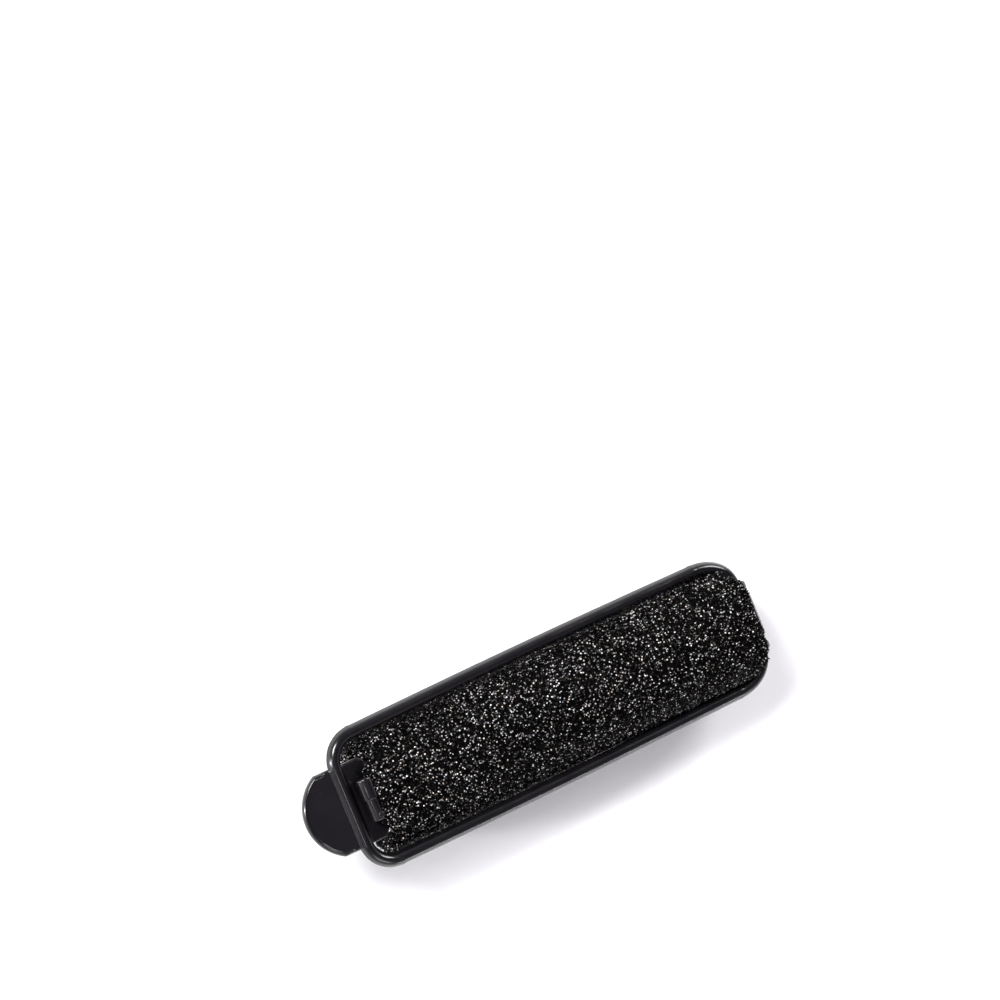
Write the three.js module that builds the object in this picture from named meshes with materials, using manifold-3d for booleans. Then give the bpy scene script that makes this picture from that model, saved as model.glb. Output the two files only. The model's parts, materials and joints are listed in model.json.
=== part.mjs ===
// Foam hair roller with a snap-shut wire-shaped clip, closed.
// Millimetres, +Z up. The foam lies along X with the hinge at its +X end; the origin is the middle of
// the foam's underside, which is the face the roller rests on.
import * as THREE from 'three';
import { mergeVertices } from 'three/addons/utils/BufferGeometryUtils.js';
import Module from 'manifold-3d';

const wasm = await Module();
wasm.setup();

// Foam sleeve
const foamLength = 62.2;
const foamRadius = 8.45;
const foamRim = 1.5; // rounding of both ends
const restWidth = 5; // width of the flat on the underside, where the foam settles under the weight
const foamGap = 0.3; // room that the soft foam leaves round the core
const latchRoomDepth = 1.35; // relief in the catch end, which the latch plate presses in and lifts out of
const latchRoomFloor = 4.5;

// Core: a T-section spine through the foam, with a hinge head and a snap catch
const spineWidth = 6;
const stripBottom = -2.7; // heights of the core are measured from the foam's axis
const stripTop = -1.5;
const ribWidth = 1;
const ribTop = 2.75;
const headWidth = 6.2;
const headBottom = 0.5;
const headTop = 3;
const platePast = 4.3; // how far the back plate stands past the foam
const plateStep = 0.25;

// Hinge
const hingePast = 2.15; // hinge axis past the foam's end, and above the foam's axis
const hingeRise = 1.25;
const journalRadius = 1;
const hingeClearance = 0.08;
const collarRadius = 1.8;
const collarInner = 4.2;
const collarOuter = 5.4;

// Clip: a closed loop of oval rod
const clipLength = 68.55; // hinge axis to the middle of the latch bar
const clipSpan = 19.3; // between the middles of the two legs
const rodHalfWidth = 0.95;
const rodHalfHeight = 1.1;
const cornerRadius = 4;
const elbowRoot = 0.4; // how deep the rod starts inside its collar
const elbowSteps = 8; // straight steps in a quarter turn of the rod
const closedAngle = THREE.MathUtils.degToRad(3.9); // the closed clip rises towards its latch
const pieceGap = 0.3; // between neighbouring pieces of the turned clip
const latchWidth = 12.2;
const latchDepth = 4.75; // from the middle of the latch bar to the plate's free edge
const latchThickness = 0.8;
const latchCorner = 1.5;
const latchDip = THREE.MathUtils.degToRad(4.5);
const lipRadius = 0.25;
const tabHalfWidth = 6.2;
const tabDepth = 7.05;
const tabThickness = 1;
const tabSegments = 24;
const tabRimWidth = 0.45;
const tabRimHeight = 0.35;
const tabRimStart = 2.2;
const tabDip = THREE.MathUtils.degToRad(8);

// Snap catch, measured from the foam's catch end (outwards) and from the foam's axis (upwards)
const barrelPast = 1.15;
const barrelRise = 7.3;
const barrelRadius = 1.2;
const barrelStepRadius = 0.95;
const barrelHalf = 3.2;
const bossRadius = 0.45;
const bossHeight = 0.8;
const bossInset = 0.7;
const armWidth = 2.4;
const armInner = 2.2; // how far inside the foam's end the upright starts and stops
const armOuter = 1.0;
const armTop = 7.6;
const armUnder = 6.35;

const axisHeight = Math.sqrt(foamRadius ** 2 - (restWidth / 2) ** 2);
const hingeEnd = foamLength / 2;
const catchEnd = -foamLength / 2;
const cornerY = clipSpan / 2 - cornerRadius;
const legEnd = clipLength - cornerRadius;

const foamMaterial = { color: 0x17120f, roughness: 0.95, metalness: 0 };
const coreMaterial = { color: 0x1d1d20, roughness: 0.5, metalness: 0 };
const clipMaterial = { color: 0x141417, roughness: 0.32, metalness: 0 };

// ---- Solids ----

function toSolid(geometry) {
  const bare = geometry.clone();
  bare.deleteAttribute('normal');
  bare.deleteAttribute('uv');
  const merged = mergeVertices(bare, 1e-4);
  const vertProperties = new Float32Array(merged.attributes.position.array);
  const triVerts = new Uint32Array(merged.index.array);
  return new wasm.Manifold(new wasm.Mesh({ numProp: 3, vertProperties, triVerts }));
}

function toGeometry(solid) {
  const mesh = solid.getMesh();
  const geometry = new THREE.BufferGeometry();
  geometry.setAttribute('position', new THREE.BufferAttribute(mesh.vertProperties, 3));
  geometry.setIndex(new THREE.BufferAttribute(mesh.triVerts, 1));
  geometry.computeVertexNormals();
  return geometry;
}

function joined(...geometries) {
  return toGeometry(geometries.map(toSolid).reduce((whole, piece) => whole.add(piece)));
}

function cutBy(geometry, ...tools) {
  return toGeometry(tools.map(toSolid).reduce((whole, tool) => whole.subtract(tool), toSolid(geometry)));
}

function box(x, y, z) {
  const geometry = new THREE.BoxGeometry(x[1] - x[0], y[1] - y[0], z[1] - z[0]);
  return geometry.translate((x[0] + x[1]) / 2, (y[0] + y[1]) / 2, (z[0] + z[1]) / 2);
}

function rod(radius, y, x, z) {
  const geometry = new THREE.CylinderGeometry(radius, radius, y[1] - y[0], 32);
  return geometry.translate(x, (y[0] + y[1]) / 2, z);
}

// A side view (x to the right, z up) given a width across the part.
function acrossY(shape, width) {
  const geometry = new THREE.ExtrudeGeometry(shape, { depth: width, bevelEnabled: false });
  return geometry.rotateX(Math.PI / 2).translate(0, width / 2, 0);
}

// A plan view (x, y) given a thickness about z = 0.
function flatPlate(shape, thickness, curveSegments = 8) {
  const geometry = new THREE.ExtrudeGeometry(shape, { depth: thickness, bevelEnabled: false, curveSegments });
  return geometry.translate(0, 0, -thickness / 2);
}

function outline(points) {
  return new THREE.Shape(points.map(([x, y]) => new THREE.Vector2(x, y)));
}

function sweptRod(path, steps) {
  const section = new THREE.Shape();
  section.absellipse(0, 0, rodHalfHeight, rodHalfWidth, 0, 2 * Math.PI);
  const options = { steps, bevelEnabled: false, curveSegments: 10, extrudePath: path };
  return new THREE.ExtrudeGeometry(section, options);
}

function line(from, to) {
  return new THREE.LineCurve3(new THREE.Vector3(...from, 0), new THREE.Vector3(...to, 0));
}

// A quarter turn in the clip's plane, from one tangent point to the other round a square corner.
class QuarterTurn extends THREE.Curve {
  constructor(centre, startAngle, sweep) {
    super();
    this.centre = centre;
    this.startAngle = startAngle;
    this.sweep = sweep;
  }

  getPoint(t, target = new THREE.Vector3()) {
    const angle = this.startAngle + this.sweep * t;
    const [x, y] = this.centre;
    return target.set(x + cornerRadius * Math.cos(angle), y + cornerRadius * Math.sin(angle), 0);
  }
}

function route(...curves) {
  const path = new THREE.CurvePath();
  curves.forEach((curve) => path.add(curve));
  return path;
}

function part(name, geometry, material) {
  const mesh = new THREE.Mesh(geometry, new THREE.MeshStandardMaterial(material));
  mesh.name = name;
  return mesh;
}

// ---- Foam ----

function foamSleeve() {
  const half = foamLength / 2;
  const profile = new THREE.Path();
  profile.moveTo(0, -half);
  profile.lineTo(foamRadius - foamRim, -half);
  profile.absarc(foamRadius - foamRim, foamRim - half, foamRim, -Math.PI / 2, 0);
  profile.absarc(foamRadius - foamRim, half - foamRim, foamRim, 0, Math.PI / 2);
  profile.lineTo(0, half);
  const body = new THREE.LatheGeometry(profile.getPoints(5), 56).rotateZ(-Math.PI / 2);
  const past = foamLength;
  const underside = box([-past, past], [-past, past], [-past, -axisHeight]);
  const across = (width) => [-width / 2 - foamGap, width / 2 + foamGap];
  const strip = box([-past, past], across(spineWidth), [stripBottom - foamGap, stripTop + foamGap]);
  const rib = box([-past, past], across(ribWidth), [stripTop, ribTop + foamGap]);
  const armRoom = box([-past, catchEnd + armInner + foamGap], across(armWidth), [stripTop, past]);
  const latchRoom = box([-past, catchEnd + latchRoomDepth], across(latchWidth), [latchRoomFloor, past]);
  return cutBy(body, underside, strip, rib, armRoom, latchRoom);
}

// ---- Core ----

function coreSpine() {
  const w = spineWidth / 2;
  const r = ribWidth / 2;
  const from = catchEnd + armInner;
  const strip = box([from, hingeEnd], [-w, w], [stripBottom, stripTop]);
  const rib = box([from, hingeEnd], [-r, r], [stripTop - 0.2, ribTop]);
  return joined(strip, rib);
}

function hingeSocket() {
  const block = outline([
    [0.6, headBottom],
    [4.05, headBottom],
    [4.05, 2.3],
    [3.6, headTop],
    [1.4, headTop],
    [0.6, 2.2],
  ]);
  const gusset = outline([
    [0, stripTop],
    [0.8, stripTop],
    [0.8, 2.2],
    [1.35, ribTop],
    [0, ribTop],
  ]);
  const bore = rod(journalRadius + hingeClearance, [-headWidth, headWidth], hingePast, hingeRise);
  const head = joined(acrossY(block, headWidth), acrossY(gusset, ribWidth));
  return cutBy(head, bore).translate(hingeEnd, 0, 0);
}

function hingeBackPlate() {
  const w = headWidth / 2;
  const plate = box([0, platePast], [-w, w], [stripBottom, stripTop]);
  const step = box([platePast - plateStep, platePast + 1], [-headWidth, 0], [stripBottom - 1, stripTop + 1]);
  return cutBy(plate, step).translate(hingeEnd, 0, 0);
}

function catchHook() {
  const arm = outline([
    [-barrelPast, armUnder],
    [armOuter, armUnder],
    [armOuter, stripBottom],
    [armInner, stripBottom],
    [armInner, armTop - 0.6],
    [armInner - 0.6, armTop],
    [-barrelPast, armTop],
  ]);
  const smooth = rod(barrelRadius, [0, barrelHalf], -barrelPast, barrelRise);
  const stepped = rod(barrelStepRadius, [-barrelHalf, 0.2], -barrelPast, barrelRise);
  const boss = new THREE.CylinderGeometry(bossRadius, bossRadius, bossHeight, 16).rotateX(Math.PI / 2);
  boss.translate(barrelStepRadius / 3 - barrelPast, bossInset - barrelHalf, barrelRise + barrelStepRadius);
  return joined(acrossY(arm, armWidth), smooth, stepped, boss).translate(catchEnd, 0, 0);
}

// ---- Clip, in its own plane: the hinge axis is Y, and the legs run towards -X ----

function hingeBar() {
  const chamfer = 0.25;
  const half = [
    [journalRadius, collarInner],
    [collarRadius - chamfer, collarInner],
    [collarRadius, collarInner + chamfer],
    [collarRadius, collarOuter - chamfer],
    [collarRadius - chamfer, collarOuter],
    [0, collarOuter],
  ];
  const other = half.map(([radius, y]) => [radius, -y]).reverse();
  const profile = [...other, ...half].map(([radius, y]) => new THREE.Vector2(radius, y));
  const pin = new THREE.LatheGeometry(profile, 32);
  const elbow = (side) => {
    const straight = line([0, side * (collarOuter - elbowRoot)], [0, side * cornerY]);
    const bend = new QuarterTurn([-cornerRadius, side * cornerY], 0, (side * Math.PI) / 2);
    return sweptRod(route(straight, bend), elbowSteps);
  };
  return joined(pin, elbow(1), elbow(-1));
}

function leg(side) {
  const y = (side * clipSpan) / 2;
  return sweptRod(route(line([-cornerRadius - pieceGap, y], [pieceGap - legEnd, y])), 2);
}

function latchBar() {
  const path = route(
    new QuarterTurn([-legEnd, cornerY], Math.PI / 2, Math.PI / 2),
    line([-clipLength, cornerY], [-clipLength, -cornerY]),
    new QuarterTurn([-legEnd, -cornerY], Math.PI, Math.PI / 2),
  );
  return sweptRod(path, 4 * elbowSteps);
}

// Drawn with the bar's middle at x = 0 and the free edge at +x.
function latchPlate() {
  const w = latchWidth / 2;
  const shape = new THREE.Shape();
  shape.moveTo(rodHalfWidth + pieceGap, -w);
  shape.lineTo(latchDepth - latchCorner, -w);
  shape.absarc(latchDepth - latchCorner, latchCorner - w, latchCorner, -Math.PI / 2, 0);
  shape.absarc(latchDepth - latchCorner, w - latchCorner, latchCorner, 0, Math.PI / 2);
  shape.lineTo(rodHalfWidth + pieceGap, w);
  const lip = rod(lipRadius, [latchCorner - w, w - latchCorner], latchDepth - lipRadius, latchThickness / 2);
  return joined(flatPlate(shape, latchThickness), lip);
}

// Drawn with the bar's middle at x = 0 and the round edge at -x.
function roundedTab(inset) {
  const w = tabHalfWidth - inset;
  const radius = tabDepth - inset;
  const reach = Math.acos(w / radius);
  const start = -rodHalfWidth - pieceGap;
  const shape = new THREE.Shape();
  shape.moveTo(start, w);
  shape.lineTo(-radius * Math.sin(reach), w);
  shape.absarc(0, 0, radius, Math.PI / 2 + reach, 1.5 * Math.PI - reach);
  shape.lineTo(start, -w);
  return shape;
}

function thumbTab() {
  const plate = flatPlate(roundedTab(0), tabThickness, tabSegments);
  const rimLevel = tabThickness / 2 + tabRimHeight / 2;
  const rim = flatPlate(roundedTab(0), tabRimHeight + 0.2, tabSegments).translate(0, 0, rimLevel - 0.1);
  const field = flatPlate(roundedTab(tabRimWidth), 2 * tabRimHeight, tabSegments);
  const slot = box([-tabRimStart, 0], [-tabDepth, tabDepth], [-tabRimHeight, tabRimHeight]);
  const lift = tabThickness / 2 + tabRimHeight;
  const edge = cutBy(rim, field.translate(0, 0, lift), slot.translate(0, 0, lift));
  return joined(plate, edge);
}

// ---- Assembly ----

const roller = new THREE.Group();

const core = new THREE.Group();
core.position.z = axisHeight;
core.add(part('foam_sleeve', foamSleeve(), foamMaterial));
core.add(part('core_spine', coreSpine(), coreMaterial));
core.add(part('hinge_socket', hingeSocket(), coreMaterial));
core.add(part('hinge_back_plate', hingeBackPlate(), coreMaterial));
core.add(part('catch_hook', catchHook(), coreMaterial));
roller.add(core);

const clip = new THREE.Group();
clip.position.set(hingeEnd + hingePast, 0, axisHeight + hingeRise);
clip.rotation.y = closedAngle;
clip.add(part('hinge_bar', hingeBar(), clipMaterial));
clip.add(part('leg_left', leg(1), clipMaterial));
clip.add(part('leg_right', leg(-1), clipMaterial));
clip.add(part('latch_bar', latchBar(), clipMaterial));

const plate = part('latch_plate', latchPlate(), clipMaterial);
plate.position.x = -clipLength;
plate.rotation.y = latchDip;
clip.add(plate);

const tab = part('thumb_tab', thumbTab(), clipMaterial);
tab.position.x = -clipLength;
tab.rotation.y = -tabDip;
clip.add(tab);
roller.add(clip);

export default roller;
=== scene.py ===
"""Foam hair roller, closed: open-cell foam on a moulded core, held by a hinged rod clip."""

import json
import math

import bmesh
import bpy
import numpy as np
from mathutils import Matrix, Quaternion, Vector


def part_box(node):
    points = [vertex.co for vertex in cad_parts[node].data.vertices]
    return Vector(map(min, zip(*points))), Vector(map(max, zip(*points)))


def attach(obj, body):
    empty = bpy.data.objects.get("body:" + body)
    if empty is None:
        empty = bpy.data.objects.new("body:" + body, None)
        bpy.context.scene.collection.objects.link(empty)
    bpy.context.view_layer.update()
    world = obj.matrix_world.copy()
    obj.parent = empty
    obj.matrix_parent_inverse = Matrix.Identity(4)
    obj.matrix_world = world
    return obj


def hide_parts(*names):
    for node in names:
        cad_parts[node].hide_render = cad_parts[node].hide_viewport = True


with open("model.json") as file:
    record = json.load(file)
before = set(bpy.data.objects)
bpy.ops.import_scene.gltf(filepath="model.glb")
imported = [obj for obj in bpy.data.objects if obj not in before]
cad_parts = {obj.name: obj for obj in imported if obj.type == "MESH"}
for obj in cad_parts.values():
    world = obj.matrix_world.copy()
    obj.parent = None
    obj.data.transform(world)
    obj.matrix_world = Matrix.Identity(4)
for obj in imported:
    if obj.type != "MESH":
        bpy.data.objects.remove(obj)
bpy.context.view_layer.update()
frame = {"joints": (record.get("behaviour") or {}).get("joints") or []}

MM = 0.001

# ---- Sizes, in millimetres, from the frame where it holds them ----

foam_low, foam_high = (np.array(corner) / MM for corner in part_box("foam_sleeve"))
FOAM_RADIUS = (foam_high[1] - foam_low[1]) / 2
FOAM_LENGTH = foam_high[0] - foam_low[0]
AXIS_HEIGHT = foam_high[2] - FOAM_RADIUS
HINGE_END = foam_high[0]
CATCH_END = foam_low[0]
HINGE = np.array(frame["joints"][0]["pos_m"]) / MM

CLOSED_ANGLE = math.radians(3.9)
CLIP_LENGTH = 68.55
CLIP_SPAN = 19.3
ROD_HALF_WIDTH = 0.95
ROD_HALF_HEIGHT = 1.1
CORNER_RADIUS = 4.0


# ---- Materials ----


class Nodes:
    """A material's node tree, with short calls for making and linking its nodes."""

    def __init__(self, name):
        self.material = bpy.data.materials.new(name)
        self.material.use_nodes = True
        self.tree = self.material.node_tree
        self.shader = self.tree.nodes["Principled BSDF"]

    def add(self, kind, **settings):
        node = self.tree.nodes.new("ShaderNode" + kind)
        for key, value in settings.items():
            if key in node.inputs:
                node.inputs[key].default_value = value
            else:
                setattr(node, key, value)
        return node

    def link(self, source, target):
        self.tree.links.new(source, target)

    def noise(self, vector, scale, detail=3.0, roughness=0.5):
        node = self.add("TexNoise", Scale=scale, Detail=detail, Roughness=roughness)
        self.link(vector, node.inputs["Vector"])
        return node.outputs["Fac"]

    def ramp(self, value, stops):
        node = self.add("ValToRGB")
        elements = node.color_ramp.elements
        while len(elements) < len(stops):
            elements.new(0.5)
        for element, (place, colour) in zip(elements, stops):
            element.position = place
            element.color = (*colour, 1.0)
        self.link(value, node.inputs["Fac"])
        return node.outputs["Color"]

    def spread(self, value, low, high, to_low, to_high):
        node = self.add("MapRange")
        keys = ("From Min", "From Max", "To Min", "To Max")
        for key, number in zip(keys, (low, high, to_low, to_high)):
            node.inputs[key].default_value = number
        self.link(value, node.inputs["Value"])
        return node.outputs["Result"]

    def math(self, operation, a, b):
        node = self.add("Math", operation=operation)
        for socket, value in zip(node.inputs, (a, b)):
            if isinstance(value, (int, float)):
                socket.default_value = value
            else:
                self.link(value, socket)
        return node.outputs["Value"]

    def weighted(self, a, weight_a, b, weight_b):
        return self.math("ADD", self.math("MULTIPLY", a, weight_a), self.math("MULTIPLY", b, weight_b))

    def bump(self, height, strength, distance):
        node = self.add("Bump", Strength=strength, Distance=distance)
        self.link(height, node.inputs["Height"])
        self.link(node.outputs["Normal"], self.shader.inputs["Normal"])


def grey(value):
    return (value, value, value)


def tinted(value):
    """The mouldings' black, which leans to violet."""
    return (value * 1.04, value * 0.94, value * 1.15)


# Texture scales are per metre of the object, and bump distances are in metres
MOTTLE_SCALE = 260.0
MOULD_GRAIN_SCALE = 7000.0
SCUFF_SCALE = 5200.0
SCUFF_STRETCH = (0.12, 1.0, 1.0)
MOULD_BUMP = (0.16, 0.00003)
WORN_EDGE = (0.52, 0.62)
SMOOTHEST, ROUGHEST = -0.07, 0.09


def moulded_plastic(name, level, rough, specular):
    """Black moulded plastic: fine mould texture, faint mottling, scuffs drawn out along X, paler edges."""
    nodes = Nodes(name)
    where = nodes.add("TexCoord").outputs["Object"]
    mottle = nodes.noise(where, MOTTLE_SCALE, 4.0)
    grain = nodes.noise(where, MOULD_GRAIN_SCALE, 2.0)
    stretch = nodes.add("Mapping", Scale=SCUFF_STRETCH)
    nodes.link(where, stretch.inputs["Vector"])
    scuffs = nodes.noise(stretch.outputs["Vector"], SCUFF_SCALE, 1.0)
    edges = nodes.add("NewGeometry").outputs["Pointiness"]
    worn = nodes.spread(edges, *WORN_EDGE, 0.0, 1.0)
    tone = nodes.weighted(mottle, 0.7, worn, 0.35)
    tones = [(0.2, tinted(level * 0.75)), (0.55, tinted(level * 1.15)), (1.0, tinted(level * 3.0))]
    nodes.link(nodes.ramp(tone, tones), nodes.shader.inputs["Base Color"])
    uneven = nodes.weighted(mottle, 0.6, scuffs, 0.4)
    gloss = nodes.spread(uneven, 0.3, 0.7, rough + SMOOTHEST, rough + ROUGHEST)
    nodes.link(gloss, nodes.shader.inputs["Roughness"])
    nodes.shader.inputs["Specular IOR Level"].default_value = specular
    nodes.bump(nodes.weighted(grain, 0.5, scuffs, 0.5), *MOULD_BUMP)
    return nodes.material


FOAM_SPECULAR = 0.02
FOAM_GLOSS = (0.2, 0.9, 0.8, 0.3)  # between these two heights up a wall, roughness runs between the last two
# Painted glints: pale dots in the foam's base colour, which stay where they are when the light moves
GLINT_SCALE = 3700.0
GLINT_EDGE = (0.32, 0.52)
GLINT_RARITY = 8.5
GLINT_IN_PORE = 0.3
PATCH_SCALE = 150.0
FLECK_SCALE = 2600.0
STRUT_SCALE = 5200.0
STRUT_BUMP = (0.6, 0.0001)
# The foam's colour from pore floor up to wall top: the darker pore and web colours are painted shade, for the
# light that doesn't reach into the pores
PORE_SHADED_BLACK = (0.0001, 0.0001, 0.0001)
WEB_SHADED_BLACK = (0.0004, 0.0003, 0.0003)
WALL_BLACK = (0.004, 0.0034, 0.0034)
FOAM_TONES_SHADED_INTO_PORES = [(0.3, PORE_SHADED_BLACK), (0.65, WEB_SHADED_BLACK), (1.0, WALL_BLACK)]
FOAM_TINTS = [(0.35, (0.7, 0.68, 0.74)), (0.65, (1.25, 1.06, 1.0))]
GLINT_HUES = [
    (0.0, (1.0, 0.86, 0.72)),
    (0.3, (1.0, 0.98, 0.95)),
    (0.75, (1.0, 1.0, 1.0)),
    (1.0, (0.8, 0.9, 1.0)),
]


def painted_foam_glints(nodes, where, wall):
    """Painted glints: pale dots of colour that stand for the light off the shiny knots of the web, each with
    its own brightness and hue.

    They have a lattice of their own, kept off the pores' floors, and don't follow the mesh's cells.
    """
    glint_cells = nodes.add("TexVoronoi", Scale=GLINT_SCALE)
    nodes.link(where, glint_cells.inputs["Vector"])
    chance = nodes.add("SeparateColor")
    nodes.link(glint_cells.outputs["Color"], chance.inputs["Color"])
    dot = nodes.spread(glint_cells.outputs["Distance"], *GLINT_EDGE, 1.0, 0.0)
    power = nodes.math("POWER", chance.outputs["Red"], GLINT_RARITY)
    raised = nodes.spread(wall, 0.0, 0.6, GLINT_IN_PORE, 1.0)
    glint = nodes.math("MULTIPLY", nodes.math("MULTIPLY", dot, power), raised)
    return glint, nodes.ramp(chance.outputs["Green"], GLINT_HUES)


def open_cell_foam():
    """Brownish-black foam. The mesh carries how far each point is up its cell wall, from 0 in a pore to 1,
    and the colour darkens down into the pores as painted shade.
    """
    nodes = Nodes("foam_open_cell")
    where = nodes.add("TexCoord").outputs["Object"]
    wall = nodes.add("Attribute", attribute_name="wall").outputs["Fac"]
    patch = nodes.noise(where, PATCH_SCALE, 3.0)
    fleck = nodes.noise(where, FLECK_SCALE, 2.0, 0.6)
    # Wall height darkens the colour in the pores as painted shade; the fleck is random tone
    pore_shade_and_fleck = nodes.weighted(wall, 0.75, fleck, 0.3)
    warm = nodes.add("MixRGB", blend_type="MULTIPLY", Fac=1.0)
    nodes.link(nodes.ramp(pore_shade_and_fleck, FOAM_TONES_SHADED_INTO_PORES), warm.inputs["Color1"])
    nodes.link(nodes.ramp(patch, FOAM_TINTS), warm.inputs["Color2"])
    glint, hue = painted_foam_glints(nodes, where, wall)
    # The painted glints are mixed into the base colour here
    painted_glint_mix = nodes.add("MixRGB", blend_type="MIX")
    nodes.link(warm.outputs["Color"], painted_glint_mix.inputs["Color1"])
    nodes.link(hue, painted_glint_mix.inputs["Color2"])
    nodes.link(glint, painted_glint_mix.inputs["Fac"])
    nodes.link(painted_glint_mix.outputs["Color"], nodes.shader.inputs["Base Color"])
    nodes.link(nodes.spread(wall, *FOAM_GLOSS), nodes.shader.inputs["Roughness"])
    nodes.shader.inputs["Specular IOR Level"].default_value = FOAM_SPECULAR
    nodes.bump(nodes.noise(where, STRUT_SCALE, 2.0), *STRUT_BUMP)
    return nodes.material


# ---- Meshes ----

BEVEL_SEGMENTS = 3
BEVEL_ANGLE = math.radians(35)


def new_object(name, vertices, faces, material, smooth=True, at=None):
    """vertices are in millimetres, in the row frame, or in a frame that the matrix at places."""
    points = np.asarray(vertices, float) * MM
    if at is not None:
        turn = np.array(at)
        points = points @ turn[:3, :3].T + turn[:3, 3]
    mesh = bpy.data.meshes.new(name)
    mesh.from_pydata(points.tolist(), [], [list(map(int, f)) for f in faces])
    mesh.validate()
    mesh.shade_smooth() if smooth else mesh.shade_flat()
    mesh.materials.append(material)
    piece = bpy.data.objects.new(name, mesh)
    bpy.context.scene.collection.objects.link(piece)
    return piece


def grid_faces(rows, columns, close_columns=True, first=0, flip=False):
    """Quads between rows of points laid one after another."""
    spans = columns if close_columns else columns - 1
    i, j = np.meshgrid(np.arange(rows - 1), np.arange(spans), indexing="ij")
    k = (j + 1) % columns
    quads = np.stack([i * columns + j, i * columns + k, (i + 1) * columns + k, (i + 1) * columns + j], -1)
    quads = quads.reshape(-1, 4) + first
    return quads[:, ::-1] if flip else quads


def join(name, pieces):
    """Joins mesh objects into the first and names it."""
    bpy.ops.object.select_all(action="DESELECT")
    for piece in pieces:
        piece.select_set(True)
    bpy.context.view_layer.objects.active = pieces[0]
    bpy.ops.object.join()
    pieces[0].name = name
    pieces[0].data.name = name
    return pieces[0]


def apply_modifiers(piece):
    bpy.context.view_layer.objects.active = piece
    for modifier in list(piece.modifiers):
        bpy.ops.object.modifier_apply(modifier=modifier.name)


def lathe(name, profile, material, at, steps=48):
    """profile is (radius, y) pairs, turned about the Y axis of the frame at; both ends are closed."""
    profile = np.array(profile, float)
    angle = np.linspace(0, 2 * math.pi, steps, endpoint=False)
    rings = [np.stack([r * np.cos(angle), np.full(steps, y), r * np.sin(angle)], -1) for r, y in profile]
    points = np.concatenate(rings)
    faces = [list(f) for f in grid_faces(len(profile), steps, flip=True)]
    faces.append(list(range(steps)))
    faces.append(list(range(len(points) - 1, len(points) - 1 - steps, -1)))
    return new_object(name, points, faces, material, at=at)


def rounded_step(low, high, radius, rise, count=5):
    """A quarter-round at place low up to radius high, turning outwards (rise 1) or inwards (rise -1)."""
    turn = np.linspace(0, math.pi / 2, count)
    if rise > 0:
        return [(high - radius + radius * math.sin(t), low + radius - radius * math.cos(t)) for t in turn]
    return [(high - radius + radius * math.cos(t), low - radius + radius * math.sin(t)) for t in turn]


def prism(name, outline, width, material, bevel, centre_y=0.0):
    """A side view (x, z) in the row frame given a width across Y, with rounded edges."""
    count = len(outline)
    sides = (centre_y - width / 2, centre_y + width / 2)
    points = [(x, y, z) for y in sides for x, z in outline]
    faces = [[i, (i + 1) % count, count + (i + 1) % count, count + i] for i in range(count)]
    faces.append(list(range(count - 1, -1, -1)))
    faces.append(list(range(count, 2 * count)))
    piece = new_object(name, points, faces, material)
    work = bmesh.new()
    work.from_mesh(piece.data)
    bmesh.ops.recalc_face_normals(work, faces=work.faces)
    work.to_mesh(piece.data)
    work.free()
    rounding = piece.modifiers.new("round", "BEVEL")
    rounding.width = bevel * MM
    rounding.segments = BEVEL_SEGMENTS
    rounding.limit_method = "ANGLE"
    rounding.angle_limit = BEVEL_ANGLE
    rounding.harden_normals = True
    apply_modifiers(piece)
    return piece


# ---- Foam sleeve ----

CELL = 0.4
FOAM_STEP = 0.14
FOAM_RIM = 1.5
PORE_DEPTH = 0.23
HINGE_OVERHANG = 2.3
CATCH_OVERHANG = 1.3
OUTER_SURFACE = 0.06  # how far the cell walls stand above the sleeve's plain form
WALL_WIDTH = (0.02, 0.32)  # in cells
WEB_WIDTH = (0.0, 0.3)
WEB_CELL = CELL * 0.5
RIM_STRAND = 0.35
END_START = 0.3
END_STRETCH = 1.2
SETTLED = 0.02  # the underside's height above the table

# Unevenness by height, size and salt. Each kind has its own salt, so it draws its own random numbers
LUMP, DIMPLE, RIM_LUMP = (0.09, 7.0, 11), (0.06, 2.4, 12), (0.2, 1.4, 13)
RAGGED = (0.3, 3.1, 15)
STRAND_SALT, WEB_SALT = 14, 20
RIM_FULLNESS = 0.1
WAIST = (0.12, 0.28)  # everywhere, and more towards -Y
WAIST_TO_CATCH = (0.1, 0.75)
WAIST_FROM = (-7.5, -2.0)

# Patches of the end faces: half width and its power, middle height, half height and its power
BAR_PATCH = (7.6, 6, 1.2, 2.6, 4)
PLATE_PATCH = (3.6, 6, -1.8, 2.2, 4)
HEAD_PATCH = (3.9, 4, 0.2, 4.2, 4)
HUB_PATCH = (3.2, 4, 0.5, 4.0, 4)
HINGE_SINK = 0.15
HEAD_SINK = 1.2
HUB_SINK = 0.8
FLARE = (0.68, 0.3, 0.08)  # in the middle, and more towards +Y and towards -Y
FLARE_FROM = (2.8, 4.6)
LATCH_SINK = 1.5
LATCH_ACROSS = (-7.0, -6.2)  # where the dent fades in, by -|y|
LATCH_LOW = (2.6, 4.4)  # by z
LATCH_HIGH = (-6.9, -6.3)  # by -z
CATCH_EDGE_FROM = (6.3, 7.2)
CATCH_EDGE_DIP = (0.55, 3.4)  # share and half width of the dip at the catch's arm
LEAN = 0.5
LEAN_ACROSS = (-4.0, 6.0)
LEAN_UP = (-6.0, 2.0)


def lattice_random(cells, salt):
    """Repeatable random numbers from 0 to 1 for integer lattice cells."""
    mixed = cells.astype(np.int64) @ np.array([73856093, 19349663, 83492791], np.int64) + salt * 2654435761
    mixed = (mixed ^ (mixed >> 13)) * 1274126177
    mixed = (mixed ^ (mixed >> 16)) & 0x7FFFFFFF
    return mixed / 0x7FFFFFFF


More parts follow.
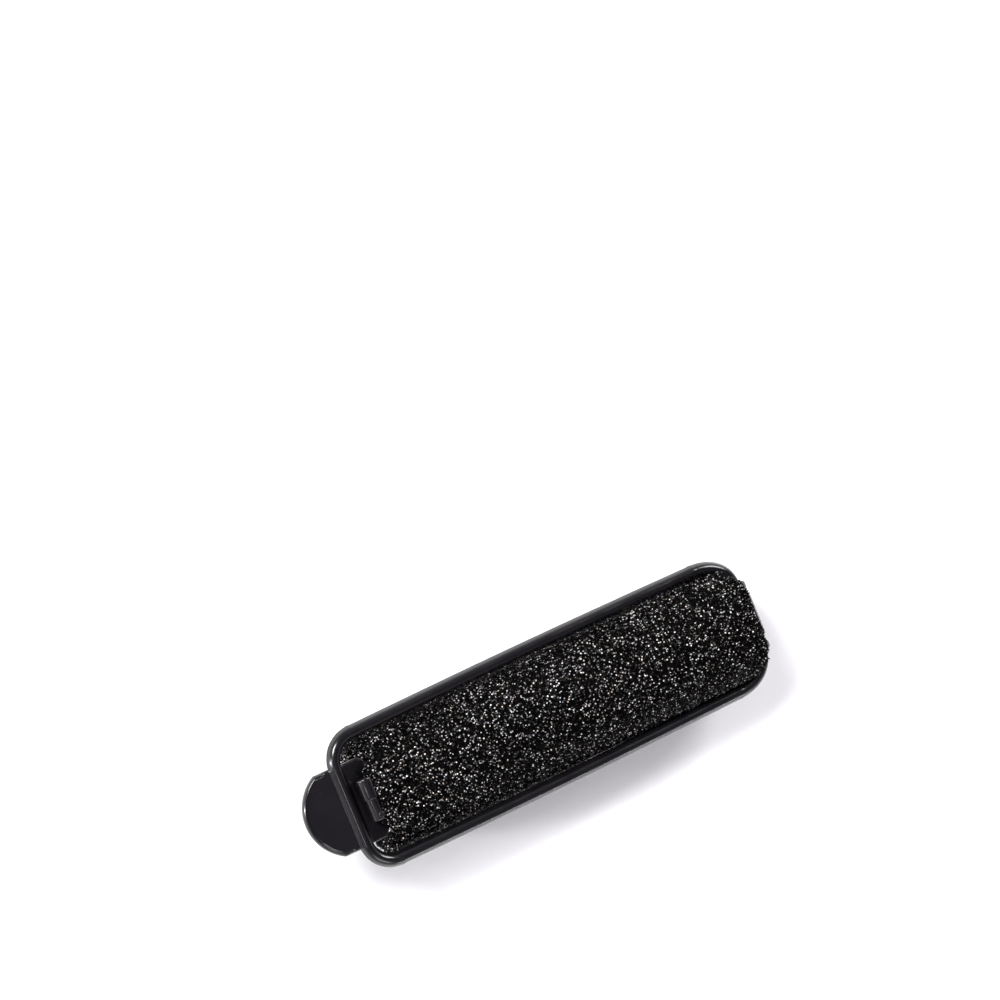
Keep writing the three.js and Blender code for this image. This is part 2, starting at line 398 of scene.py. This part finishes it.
def nearest_cells(points, size, salt=0):
    """Distances to the nearest two points of a jittered lattice, in cells, and the nearest one's number."""
    scaled = points / size
    base = np.floor(scaled).astype(np.int64)
    first = np.full(len(points), 9.0)
    second = np.full(len(points), 9.0)
    owner = np.zeros(len(points))
    steps = (-1, 0, 1)
    for offset in [(i, j, k) for i in steps for j in steps for k in steps]:
        cell = base + offset
        seed = cell + np.stack([lattice_random(cell, salt + axis) for axis in (1, 2, 3)], -1)
        distance = np.linalg.norm(seed - scaled, axis=1)
        number = lattice_random(cell, salt + 4)
        closer = distance < first
        second = np.where(closer, first, np.minimum(second, distance))
        owner = np.where(closer, number, owner)
        first = np.where(closer, distance, first)
    return first, second, owner


def soft_noise(points, size, salt):
    """Smooth noise from -1 to 1 with features about size across."""
    scaled = points / size
    base = np.floor(scaled).astype(np.int64)
    part = scaled - base
    part = part * part * (3 - 2 * part)
    total = np.zeros(len(points))
    for corner in [(i, j, k) for i in (0, 1) for j in (0, 1) for k in (0, 1)]:
        weight = np.prod(np.where(corner, part, 1 - part), axis=1)
        total += weight * lattice_random(base + corner, salt)
    return total * 2 - 1


def smooth(value, low, high):
    t = np.clip((value - low) / (high - low), 0, 1)
    return t * t * (3 - 2 * t)


def foam_profile():
    """Rows of the sleeve's outline from end to end: x from the middle, radius, and the outward normal."""
    half = FOAM_LENGTH / 2
    flat = FOAM_RADIUS - FOAM_RIM
    end = [(half, r, 1.0, 0.0) for r in np.arange(END_START, flat, FOAM_STEP * END_STRETCH)]
    turn = np.linspace(0, math.pi / 2, int(FOAM_RIM * math.pi / 2 / FOAM_STEP) + 2)
    rim = [
        (half - FOAM_RIM + FOAM_RIM * c, flat + FOAM_RIM * s, c, s)
        for c, s in zip(np.cos(turn), np.sin(turn))
    ]
    side = np.arange(FOAM_RIM - half, half - FOAM_RIM, FOAM_STEP)[1:]
    left = [(-x, r, -nx, nr) for x, r, nx, nr in end + rim]
    return np.array(left + [(x, FOAM_RADIUS, 0.0, 1.0) for x in side] + list(reversed(end + rim)))


def unevenness(points, height, size, salt):
    return height * soft_noise(points, size, salt)


def bump_at(y, z, half_width, power_y, middle, half_height, power_z):
    """1 inside a soft-edged patch of an end face, falling to 0 outside it."""
    return np.exp(-((np.abs(y) / half_width) ** power_y + (np.abs(z - middle) / half_height) ** power_z))


def hinge_shift(y, z, ragged):
    """How far the hinge end moves out: room for socket, bar and corners, with foam hanging over them."""
    room = np.maximum(bump_at(y, z, *BAR_PATCH), bump_at(y, z, *PLATE_PATCH))
    middle, to_left, to_right = FLARE
    flare = middle + to_left * smooth(y, *FLARE_FROM) + to_right * smooth(-y, *FLARE_FROM)
    overhang = HINGE_OVERHANG * flare * (0.5 + 0.5 * ragged)
    return overhang * (1 - room) - HINGE_SINK - HEAD_SINK * bump_at(y, z, *HEAD_PATCH)


def catch_shift(y, z, ragged):
    """How far the catch end moves in: dented by the latch plate, the foam over its free edge hanging out."""
    under = smooth(-np.abs(y), *LATCH_ACROSS)
    above = smooth(z, *LATCH_LOW)
    dent = LATCH_SINK * under * above * smooth(-z, *LATCH_HIGH)
    dip, dip_width = CATCH_EDGE_DIP
    over = CATCH_OVERHANG * ragged * smooth(z, *CATCH_EDGE_FROM) * (1 - dip * np.exp(-((y / dip_width) ** 4)))
    leaning_out = LEAN * smooth(y, *LEAN_ACROSS) * smooth(z, *LEAN_UP)
    hub = HUB_SINK * bump_at(y, z, *HUB_PATCH)
    return dent + hub - over - leaning_out * (1 - under * above)


def near_end(x):
    """0 away from the end of the sleeve towards +X, rising to 1 at it."""
    half = FOAM_LENGTH / 2
    return smooth(x, half - 2.6, half - 0.2)


def soft_form(points, outward):
    """Moves the sleeve's plain form to its soft one: lumps, a fuller waist, what the mouldings press in."""
    x, y, z = points.T
    hinge_side, catch_side = near_end(x), near_end(-x)
    rims = np.maximum(hinge_side, catch_side)

    lumps = unevenness(points, *LUMP) + unevenness(points, *DIMPLE)
    lumps += rims * (unevenness(points, *RIM_LUMP) + RIM_FULLNESS)
    leaning = smooth(-y, -FOAM_RADIUS, FOAM_RADIUS)
    to_catch = WAIST_TO_CATCH[0] + WAIST_TO_CATCH[1] * leaning
    waist = (WAIST[0] + WAIST[1] * leaning) + to_catch * (FOAM_LENGTH / 2 - x) / FOAM_LENGTH
    sideways = np.abs(outward[:, 1]) ** 1.5 * smooth(z, *WAIST_FROM)
    points = points + outward * (lumps + waist * sideways)[:, None]

    ragged = 1 + unevenness(points, *RAGGED)
    points[:, 0] += hinge_side * hinge_shift(y, z, ragged) + catch_side * catch_shift(y, z, ragged)
    return points, rims


def foam_sleeve(material):
    profile = foam_profile()
    around = int(2 * math.pi * FOAM_RADIUS / FOAM_STEP)
    turn = np.tile(np.linspace(0, 2 * math.pi, around, endpoint=False), len(profile))
    x, radius, normal_x, normal_r = np.repeat(profile, around, axis=0).T
    points = np.stack([x, radius * np.cos(turn), radius * np.sin(turn)], -1)
    outward = np.stack([normal_x, normal_r * np.cos(turn), normal_r * np.sin(turn)], -1)
    points, rims = soft_form(points, outward)

    # The cells: walls stand up between pores, and a finer web lies inside the pores
    first, second, owner = nearest_cells(points, CELL)
    wall = 1 - smooth(second - first, *WALL_WIDTH)
    fine_first, fine_second, _ = nearest_cells(points, WEB_CELL, WEB_SALT)
    web = 1 - smooth(fine_second - fine_first, *WEB_WIDTH)
    pore = PORE_DEPTH * (0.5 + 0.9 * owner) * (1 - wall) * (1 + 0.7 * rims)
    strands = RIM_STRAND * rims * wall * smooth(soft_noise(points, CELL, STRAND_SALT), 0.0, 0.8)
    points += outward * (OUTER_SURFACE * (1 + web * (1 - wall)) - pore + strands)[:, None]
    wall = np.clip(wall + 0.45 * web * (1 - wall) * owner, 0, 1)

    # It settles on what it lies on
    points[:, 2] = np.maximum(points[:, 2], -AXIS_HEIGHT + SETTLED)
    points += [(HINGE_END + CATCH_END) / 2, 0, AXIS_HEIGHT]

    faces = [list(f) for f in grid_faces(len(profile), around)]
    count = len(points)
    faces.append(list(range(around - 1, -1, -1)))
    faces.append(list(range(count - around, count)))
    piece = new_object("foam_sleeve_soft", points, faces, material)
    attribute = piece.data.attributes.new("wall", "FLOAT", "POINT")
    attribute.data.foreach_set("value", wall.astype(np.float32))
    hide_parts("foam_sleeve")
    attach(piece, "core")
    return piece


# ---- Core ----

HEAD_WIDTH = 6.2
HEAD_BOTTOM = 0.5
HEAD_TOP = 3.0
SOCKET_RADIUS = 1.08
SOCKET_STEPS = 22
PLATE_BOTTOM = -2.7
PLATE_TOP = -1.5
RIB_TOP = 2.75
RIB_WIDTH = 1.0
STRIP_WIDTH = 6.0
INSIDE_FOAM = -3.0  # where the gusset and the back plate start, inside the foam's end
BLOCK_EDGE = 0.16
RIB_EDGE = 0.12
PLATE_EDGE = 0.18
STRIP_EDGE = 0.15
BLOCK_FRONT = [
    (0.6, HEAD_BOTTOM),
    (0.6, 2.2),
    (1.4, HEAD_TOP),
    (3.3, HEAD_TOP),
    (3.75, 2.3),
    (3.75, HEAD_BOTTOM),
]
GUSSET = [(INSIDE_FOAM, PLATE_TOP), (INSIDE_FOAM, RIB_TOP), (1.3, RIB_TOP), (0.75, 2.1), (0.75, PLATE_TOP)]
TALL_REACH = 4.0
LOW_REACH = 3.75
LOW_DROP = 0.12
LOW_OVERLAP = 0.1

BARREL_PAST = 1.15
BARREL_RISE = 7.3
BARREL_RADIUS = 1.2
BARREL_HALF = 3.2
STEP_RADIUS = 0.98
BOSS_PLACE = (-0.85, -2.5, 8.0)
BOSS_RADIUS = 0.45
BOSS_STEPS = 24
ARM_WIDTH = 2.4
ARM_EDGE = 0.15
ARM = [
    (-BARREL_PAST, 6.35),
    (1.0, 6.35),
    (1.0, PLATE_BOTTOM),
    (2.2, PLATE_BOTTOM),
    (2.2, 7.0),
    (1.6, 7.6),
    (-BARREL_PAST, 7.6),
]


def at_hinge_end(outline):
    return [(HINGE_END + x, AXIS_HEIGHT + z) for x, z in outline]


def at_catch_end(outline):
    return [(CATCH_END + x, AXIS_HEIGHT + z) for x, z in outline]


def hinge_head(material):
    """The socket block, wrapped round the pin and open at its back, the gusset, and the back plate."""
    past, rise = HINGE[0] - HINGE_END, HINGE[2] - AXIS_HEIGHT
    mouth = math.asin((HEAD_BOTTOM - rise) / SOCKET_RADIUS)
    arc = np.linspace(mouth, math.pi - mouth, SOCKET_STEPS)
    socket = [(past + SOCKET_RADIUS * math.cos(t), rise + SOCKET_RADIUS * math.sin(t)) for t in arc]
    half = HEAD_WIDTH / 4

    def slab(reach, top):
        corners = [(INSIDE_FOAM, PLATE_BOTTOM), (INSIDE_FOAM, top), (reach, top), (reach, PLATE_BOTTOM)]
        return at_hinge_end(corners)

    block = prism("block", at_hinge_end(BLOCK_FRONT + socket), HEAD_WIDTH, material, BLOCK_EDGE)
    rib = prism("rib", at_hinge_end(GUSSET), RIB_WIDTH, material, RIB_EDGE)
    tall = prism("tall", slab(TALL_REACH, PLATE_TOP), HEAD_WIDTH / 2, material, PLATE_EDGE, centre_y=half)
    low_side = slab(LOW_REACH, PLATE_TOP - LOW_DROP)
    low_width = HEAD_WIDTH / 2 + 2 * LOW_OVERLAP
    low = prism("low", low_side, low_width, material, PLATE_EDGE, centre_y=LOW_OVERLAP - half)
    return [block, rib, tall, low]


def catch_hook(material):
    """The arm over the latch plate and its barrel: one half smooth, the other stepped with a boss."""
    bracket = prism("bracket", at_catch_end(ARM), ARM_WIDTH, material, ARM_EDGE)
    centre = Matrix.Translation(Vector((CATCH_END - BARREL_PAST, 0, AXIS_HEIGHT + BARREL_RISE)) * MM)
    smooth_half = [
        (0.6, 0.0),
        *rounded_step(0.0, BARREL_RADIUS, 0.14, 1),
        *rounded_step(BARREL_HALF, BARREL_RADIUS, 0.25, -1),
        (0.5, BARREL_HALF),
    ]
    stepped = [
        (0.4, -BARREL_HALF),
        *rounded_step(-BARREL_HALF, STEP_RADIUS, 0.18, 1),
        (STEP_RADIUS, -0.1),
        (STEP_RADIUS, 0.2),
    ]
    barrel = lathe("barrel", smooth_half, material, centre)
    step = lathe("step", stepped, material, centre)
    x, y, z = BOSS_PLACE
    upright = Matrix.Translation(Vector((CATCH_END + x, y, AXIS_HEIGHT + z)) * MM)
    upright = upright @ Matrix.Rotation(math.pi / 2, 4, "X")
    boss_profile = [(BOSS_RADIUS, -0.4), *rounded_step(0.42, BOSS_RADIUS, 0.14, -1), (0.2, 0.4)]
    boss = lathe("boss", boss_profile, material, upright, BOSS_STEPS)
    return [bracket, barrel, step, boss]


def core(material):
    spine_box = [np.array(c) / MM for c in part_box("core_spine")]
    start, end = spine_box[0][0], spine_box[1][0]
    corners = [(start, PLATE_BOTTOM), (end, PLATE_BOTTOM), (end, PLATE_TOP), (start, PLATE_TOP)]
    strip = prism("strip", [(x, AXIS_HEIGHT + z) for x, z in corners], STRIP_WIDTH, material, STRIP_EDGE)
    pieces = [strip, *hinge_head(material), *catch_hook(material)]
    piece = join("core_moulding", pieces)
    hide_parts("core_spine", "hinge_socket", "hinge_back_plate", "catch_hook")
    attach(piece, "core")
    return piece


# ---- Clip, made in its own plane: the hinge axis is Y and the legs run towards -X ----

SECTION_POINTS = 40
SECTION_SKEW = 0.175  # crowds the section's points towards its seams
SEAM_WIDTH = 0.15
SEAM_HEIGHT = 0.1
WITNESS_SWELL = 0.06
WITNESS_WIDTH = 0.22
BEND_STEPS = 27
LEG_STEPS = 121
BAR_STEPS = 14
LEG_BOW = 0.22
HINGE_CORNER = 5.6
COLLAR_INNER = 4.2
COLLAR_OUTER = 5.4
COLLAR_RADIUS = 1.8
COLLAR_ROUNDING = 0.34
PIN_RADIUS = 1.0
PIN_STEPS = 56
LATCH_HALF = 6.1
LATCH_DEPTH = 4.75
LATCH_CORNER = 1.5
LATCH_THICKNESS = 0.8
LATCH_DIP = math.radians(4.5)
LIP_HEIGHT = 0.26
LIP_WIDTH = 0.2
LIP_INSET = 0.3
LATCH_GRID = (56, 90)
TAB_HALF = 6.2
TAB_DEPTH = 7.05
TAB_THICKNESS = 1.0
TAB_DIP = math.radians(8)
TAB_RIM = 0.36
TAB_RIM_WIDTH = (0.42, 0.68)
TAB_RIM_FROM = (1.6, 2.4)
TAB_DISH = 0.05
TAB_DISH_FROM = (0.6, 2.5)
TAB_GRID = (64, 120)
WELD = 0.004
FLOW = 0.28
FLOW_FROM = (0.25, 0.8)
FLOW_SINK = 0.06
FLOW_SINK_TO = 0.7
FLOW_THICKNESS = 0.35


def clip_frame(*turns):
    """The clip's plane in the row frame, with further moves inside it."""
    matrix = Matrix.Translation(Vector(HINGE) * MM) @ Matrix.Rotation(CLOSED_ANGLE, 4, "Y")
    for move in turns:
        matrix = matrix @ move
    return matrix


def clip_path():
    """Points of the rod's middle line from one collar round to the other, with outward normals in plane."""
    side = CLIP_SPAN / 2
    bend = side - CORNER_RADIUS
    end = CLIP_LENGTH - CORNER_RADIUS
    turn = np.linspace(0, math.pi / 2, BEND_STEPS)[1:-1]
    points = [((0.0, y), (1.0, 0.0)) for y in np.linspace(COLLAR_OUTER - 0.5, bend, 3)]
    for t in turn:
        normal = np.array([math.cos(t) / HINGE_CORNER, math.sin(t) / CORNER_RADIUS])
        place = (HINGE_CORNER * (math.cos(t) - 1), bend + CORNER_RADIUS * math.sin(t))
        points.append((place, normal / np.linalg.norm(normal)))
    for x in np.linspace(-HINGE_CORNER, -end, LEG_STEPS):
        along = (x + HINGE_CORNER) / (HINGE_CORNER - end)
        points.append(((x, side + LEG_BOW * math.sin(math.pi * along)), (0.0, 1.0)))
    for t in turn:
        place = (-end - CORNER_RADIUS * math.sin(t), bend + CORNER_RADIUS * math.cos(t))
        points.append((place, (-math.sin(t), math.cos(t))))
    points += [((-CLIP_LENGTH, y), (-1.0, 0.0)) for y in np.linspace(bend, 0, BAR_STEPS)]
    half = [(np.array(p), np.array(n)) for p, n in points]
    mirror = np.array([1.0, -1.0])
    return half + [(p * mirror, n * mirror) for p, n in reversed(half[:-1])]


def rod_loop(material):
    """The oval rod with its fine parting seam and the faint witness rings where the bends begin."""
    path = clip_path()
    angle = np.linspace(0, 2 * math.pi, SECTION_POINTS, endpoint=False)
    angle = angle - SECTION_SKEW * np.sin(2 * angle)
    seam = SEAM_HEIGHT * np.exp(-((np.sin(angle) * ROD_HALF_HEIGHT / SEAM_WIDTH) ** 2))
    out = (ROD_HALF_WIDTH + seam) * np.cos(angle)
    up = ROD_HALF_HEIGHT * np.sin(angle)
    rings = []
    bend_start = CLIP_SPAN / 2 - CORNER_RADIUS
    for place, normal in path:
        swell = 1.0
        for spot in (-HINGE_CORNER, CORNER_RADIUS - CLIP_LENGTH):
            if abs(place[1]) > bend_start + 1:
                swell += WITNESS_SWELL * math.exp(-(((place[0] - spot) / WITNESS_WIDTH) ** 2))
        across = place[None, :] + np.outer(out * swell, normal)
        rings.append(np.column_stack([across, up * swell]))
    points = np.concatenate(rings)
    faces = [list(f) for f in grid_faces(len(path), SECTION_POINTS)]
    faces.append(list(range(SECTION_POINTS - 1, -1, -1)))
    faces.append(list(range(len(points) - SECTION_POINTS, len(points))))
    return new_object("rod", points, faces, material, at=clip_frame())


def hinge_pin(material):
    half = [
        (PIN_RADIUS, 0.0),
        (PIN_RADIUS, COLLAR_INNER - 0.12),
        (PIN_RADIUS + 0.12, COLLAR_INNER),
        *rounded_step(COLLAR_INNER, COLLAR_RADIUS, COLLAR_ROUNDING, 1),
        *rounded_step(COLLAR_OUTER, COLLAR_RADIUS, COLLAR_ROUNDING, -1),
        (PIN_RADIUS + 0.15, COLLAR_OUTER + 0.06),
        (PIN_RADIUS - 0.1, COLLAR_OUTER + 0.2),
    ]
    other = [(r, -y) for r, y in reversed(half[1:])]
    return lathe("pin", other + half, material, clip_frame(), PIN_STEPS)


def grown_from_rod(reach, half):
    """A plate's half-thickness where it flows into the rod, by distance from the rod's middle line."""
    rod = ROD_HALF_HEIGHT * np.sqrt(np.maximum(1 - (reach / ROD_HALF_WIDTH) ** 2, 0))
    flow = FLOW * smooth(reach, *FLOW_FROM)
    sink = FLOW_SINK * (1 - smooth(reach, FLOW_FROM[0], FLOW_SINK_TO))
    blended = (half + rod + np.sqrt((half - rod) ** 2 + flow**2)) / 2 - sink
    return half + (blended - half) * smooth(half, 0.0, FLOW_THICKNESS)


def edge_round(depth, half_thickness):
    """Half-thickness of a plate with a full-round edge, by distance in from the edge."""
    inside = np.clip(depth, 0, half_thickness)
    return np.sqrt(np.maximum(half_thickness**2 - (half_thickness - inside) ** 2, 0))


def plate_mesh(name, reach, y, top, bottom, rows, columns, material, at):
    """Two skins over one grid that meet at the plate's outer edge."""
    upper = np.column_stack([reach, y, top])
    lower = np.column_stack([reach, y, -bottom])
    faces = [list(f) for f in grid_faces(rows, columns, False)]
    faces += [list(f) for f in grid_faces(rows, columns, False, len(upper), True)]
    piece = new_object(name, np.concatenate([upper, lower]), faces, material, at=at)
    work = bmesh.new()
    work.from_mesh(piece.data)
    bmesh.ops.remove_doubles(work, verts=work.verts, dist=WELD * MM)
    bmesh.ops.recalc_face_normals(work, faces=work.faces)
    work.to_mesh(piece.data)
    work.free()
    return piece


def latch_plate(material):
    rows, columns = LATCH_GRID
    s = LATCH_DEPTH * np.sin(np.linspace(0, math.pi / 2, rows))
    u = np.sin(np.linspace(-math.pi / 2, math.pi / 2, columns))
    reach, across = (a.ravel() for a in np.meshgrid(s, u, indexing="ij"))
    straight = LATCH_DEPTH - LATCH_CORNER
    beyond = np.clip(reach - straight, 0, LATCH_CORNER)
    inner = LATCH_HALF - LATCH_CORNER
    y = across * (inner + np.sqrt(np.maximum(LATCH_CORNER**2 - beyond**2, 0)))
    corner = np.hypot(np.clip(reach - straight, 0, None), np.clip(np.abs(y) - inner, 0, None))
    depth = np.minimum(LATCH_DEPTH - reach, LATCH_CORNER - corner)
    depth = np.where(np.abs(y) < inner, LATCH_DEPTH - reach, depth)
    depth = np.where(reach < straight, np.minimum(depth, LATCH_HALF - np.abs(y)), depth)
    half = edge_round(depth, LATCH_THICKNESS / 2)
    body = half / (LATCH_THICKNESS / 2)
    front = smooth(reach, straight, LATCH_DEPTH - 0.5)
    lip = LIP_HEIGHT * np.exp(-(((depth - LIP_INSET) / LIP_WIDTH) ** 2)) * front
    bottom = grown_from_rod(reach, half)
    top = bottom + lip * body
    at = clip_frame(Matrix.Translation((-CLIP_LENGTH * MM, 0, 0)), Matrix.Rotation(LATCH_DIP, 4, "Y"))
    return plate_mesh("latch", reach, y, top, bottom, rows, columns, material, at)


def thumb_tab(material):
    rows, columns = TAB_GRID
    phi = np.linspace(-math.pi / 2, math.pi / 2, columns)
    rho = np.sin(np.linspace(0.02, math.pi / 2, rows))
    share, angle = (a.ravel() for a in np.meshgrid(rho, phi, indexing="ij"))
    limit = np.minimum(TAB_DEPTH, TAB_HALF / np.maximum(np.abs(np.sin(angle)), 1e-6))
    reach = share * limit * np.cos(angle)
    y = share * limit * np.sin(angle)
    depth = np.minimum(TAB_HALF - np.abs(y), TAB_DEPTH - np.hypot(reach, y))
    half = edge_round(depth, TAB_THICKNESS / 2)
    body = half / (TAB_THICKNESS / 2)
    rim = TAB_RIM * (1 - smooth(depth, *TAB_RIM_WIDTH)) * smooth(reach, *TAB_RIM_FROM)
    bottom = grown_from_rod(reach, half)
    top = bottom + rim * body - TAB_DISH * smooth(depth, *TAB_DISH_FROM)
    at = clip_frame(Matrix.Translation((-CLIP_LENGTH * MM, 0, 0)), Matrix.Rotation(-TAB_DIP, 4, "Y"))
    return plate_mesh("tab", -reach, y, top, bottom, rows, columns, material, at)


def clip(material):
    pieces = [rod_loop(material), hinge_pin(material), latch_plate(material), thumb_tab(material)]
    piece = join("clip_moulding", pieces)
    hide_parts("hinge_bar", "leg_left", "leg_right", "latch_bar", "latch_plate", "thumb_tab")
    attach(piece, "clip")
    return piece


# ---- Stage ----

CAMERA_AIM = (0.00482, 0.0309, 0.008)
CAMERA_DISTANCE = 0.4833
CAMERA_AZIMUTH = math.radians(-104.06)
CAMERA_ELEVATION = math.radians(71.13)
CAMERA_ROLL = math.radians(81.1)
CAMERA_LENS = 118.8
CAMERA_SENSOR = 36.0
CLIP_START = 0.01

FLOOR_HALF = 430.0
FLOOR_TONES = [(0.3, grey(0.93)), (0.7, grey(0.95))]
FLOOR_MOTTLE = 40.0
HORIZON_TOP = 0.12
ZENITH_START = 0.6
ZENITH = (0.24, 0.215, 0.275)
FLAG_DIRECTION = (0.68, -0.14, 0.72)  # the darker patch, which the latch plate mirrors
FLAG_EDGE = (0.9, 0.97)
FLAG_TONE = 0.25

# Name, place, aim, size, watts
LAMPS = [
    ("key", (-0.34, 0.42, 0.56), (0, 0, 0), (0.24, 0.24), 6.6),
    ("back", (0.66, 0.36, 0.5), (0, 0, 0), (0.3, 0.3), 4.8),
    ("fill", (-0.2, -0.6, 0.6), (0, 0, 0), (0.4, 0.4), 1.9),
    ("left_strip", (-0.5, 0.12, 0.16), (0, 0, 0.01), (0.05, 0.3), 2.2),
    ("crown", (-0.42, -0.1, 0.55), (-0.03, 0, 0.01), (0.12, 0.12), 0.2),
    ("front_strip", (0.17, -0.5, 0.08), (0, 0, 0.01), (0.3, 0.04), 0.6),
]


def camera():
    flat = math.cos(CAMERA_ELEVATION)
    back = Vector(
        (math.sin(CAMERA_AZIMUTH) * flat, -math.cos(CAMERA_AZIMUTH) * flat, math.sin(CAMERA_ELEVATION))
    )
    data = bpy.data.cameras.new("camera")
    data.lens = CAMERA_LENS
    data.sensor_width = CAMERA_SENSOR
    data.clip_start = CLIP_START
    view = bpy.data.objects.new("camera", data)
    view.location = Vector(CAMERA_AIM) + back * CAMERA_DISTANCE
    view.rotation_mode = "QUATERNION"
    view.rotation_quaternion = (-back).to_track_quat("-Z", "Y") @ Quaternion((0, 0, 1), CAMERA_ROLL)
    bpy.context.scene.collection.objects.link(view)
    bpy.context.scene.camera = view


def area_light(name, place, aim, size, power):
    data = bpy.data.lights.new(name, "AREA")
    data.shape = "RECTANGLE"
    data.size, data.size_y = size
    data.energy = power
    lamp = bpy.data.objects.new(name, data)
    lamp.location = place
    lamp.rotation_mode = "QUATERNION"
    lamp.rotation_quaternion = (Vector(aim) - Vector(place)).to_track_quat("-Z", "Y")
    bpy.context.scene.collection.objects.link(lamp)


def floor():
    nodes = Nodes("floor_paper")
    where = nodes.add("TexCoord").outputs["Object"]
    tone = nodes.ramp(nodes.noise(where, FLOOR_MOTTLE), FLOOR_TONES)
    nodes.link(tone, nodes.shader.inputs["Base Color"])
    nodes.shader.inputs["Roughness"].default_value = 0.9
    half = FLOOR_HALF
    corners = [(-half, -half, 0), (half, -half, 0), (half, half, 0), (-half, half, 0)]
    new_object("floor", corners, [[0, 1, 2, 3]], nodes.material, smooth=False)


def surroundings():
    """White low down, darker overhead, with a darker patch on the hinge side, as from a black card."""
    world = bpy.data.worlds.new("studio")
    world.use_nodes = True
    tree = world.node_tree
    direction = tree.nodes.new("ShaderNodeTexCoord").outputs["Generated"]
    split = tree.nodes.new("ShaderNodeSeparateXYZ")
    fade = tree.nodes.new("ShaderNodeValToRGB")
    tree.links.new(direction, split.inputs["Vector"])
    tree.links.new(split.outputs["Z"], fade.inputs["Fac"])
    low, high = fade.color_ramp.elements
    low.position, low.color = HORIZON_TOP, (*grey(1.0), 1.0)
    high.position, high.color = ZENITH_START, (*ZENITH, 1.0)
    towards = tree.nodes.new("ShaderNodeVectorMath")
    towards.operation = "DOT_PRODUCT"
    towards.inputs[1].default_value = FLAG_DIRECTION
    tree.links.new(direction, towards.inputs[0])
    flag = tree.nodes.new("ShaderNodeMapRange")
    flag.inputs["From Min"].default_value, flag.inputs["From Max"].default_value = FLAG_EDGE
    flag.inputs["To Min"].default_value = 1.0
    flag.inputs["To Max"].default_value = FLAG_TONE
    tree.links.new(towards.outputs["Value"], flag.inputs["Value"])
    background = tree.nodes["Background"]
    tree.links.new(fade.outputs["Color"], background.inputs["Color"])
    tree.links.new(flag.outputs["Result"], background.inputs["Strength"])
    bpy.context.scene.world = world


camera()
floor()
surroundings()
for lamp in LAMPS:
    area_light(*lamp)
bpy.context.scene.view_settings.view_transform = "Standard"
foam_sleeve(open_cell_foam())
core(moulded_plastic("plastic_core", level=0.0045, rough=0.2, specular=0.6))
clip(moulded_plastic("plastic_clip", level=0.0038, rough=0.18, specular=0.55))
